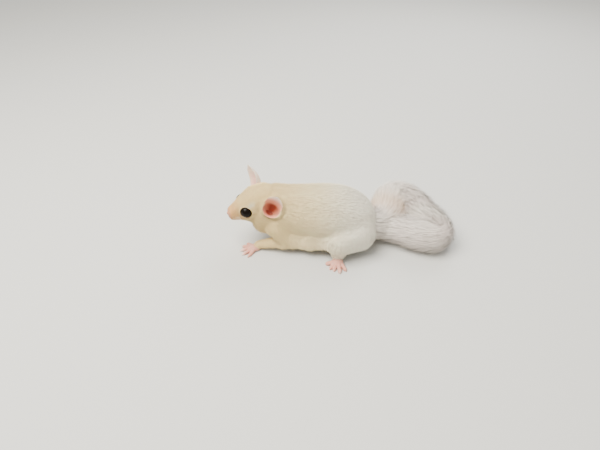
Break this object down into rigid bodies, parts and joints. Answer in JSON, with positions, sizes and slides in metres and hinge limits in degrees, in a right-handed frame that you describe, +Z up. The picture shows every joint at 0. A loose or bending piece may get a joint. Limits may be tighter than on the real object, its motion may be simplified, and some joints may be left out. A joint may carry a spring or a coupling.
{
  "type": "sugar glider figure",
  "caption": "Creeping sugar glider with large dark eyes, cupped ears, folded gliding membranes and a bushy tail curled flat behind it.",
  "frame": {"origin": "middle of the bounding box at the floor", "axes": "the nose points to -X, the animal's left side to -Y, +Z is up"},
  "size_m": [0.1972, 0.1, 0.0661],
  "materials": {
    "body_fur": "dense short plush fur, cream white",
    "tail_fur": "long soft bushy fur, white with a faint pinkish grey tint",
    "bare_skin": "bare pink skin, softly creased, a little moist on the nose",
    "ear_skin": "thin pink ear skin with fine pale down",
    "eye_surface": "wet gloss, black brown"
  },
  "bodies": {
    "root": {"torso": "body_fur", "neck": "body_fur", "head": "body_fur", "nose": "bare_skin", "eye_left": "eye_surface", "eye_right": "eye_surface", "ear_left": "ear_skin", "ear_right": "ear_skin", "upper_arm_left": "body_fur", "forearm_left": "body_fur", "hand_left": "bare_skin", "thigh_left": "body_fur", "shank_left": "body_fur", "foot_left": "bare_skin", "upper_arm_right": "body_fur", "forearm_right": "body_fur", "hand_right": "bare_skin", "thigh_right": "body_fur", "shank_right": "body_fur", "foot_right": "bare_skin", "membrane_left": "body_fur", "membrane_right": "body_fur", "tail_1": "tail_fur", "tail_2": "tail_fur", "tail_3": "tail_fur", "tail_4": "tail_fur"}
  },
  "joints": []
}
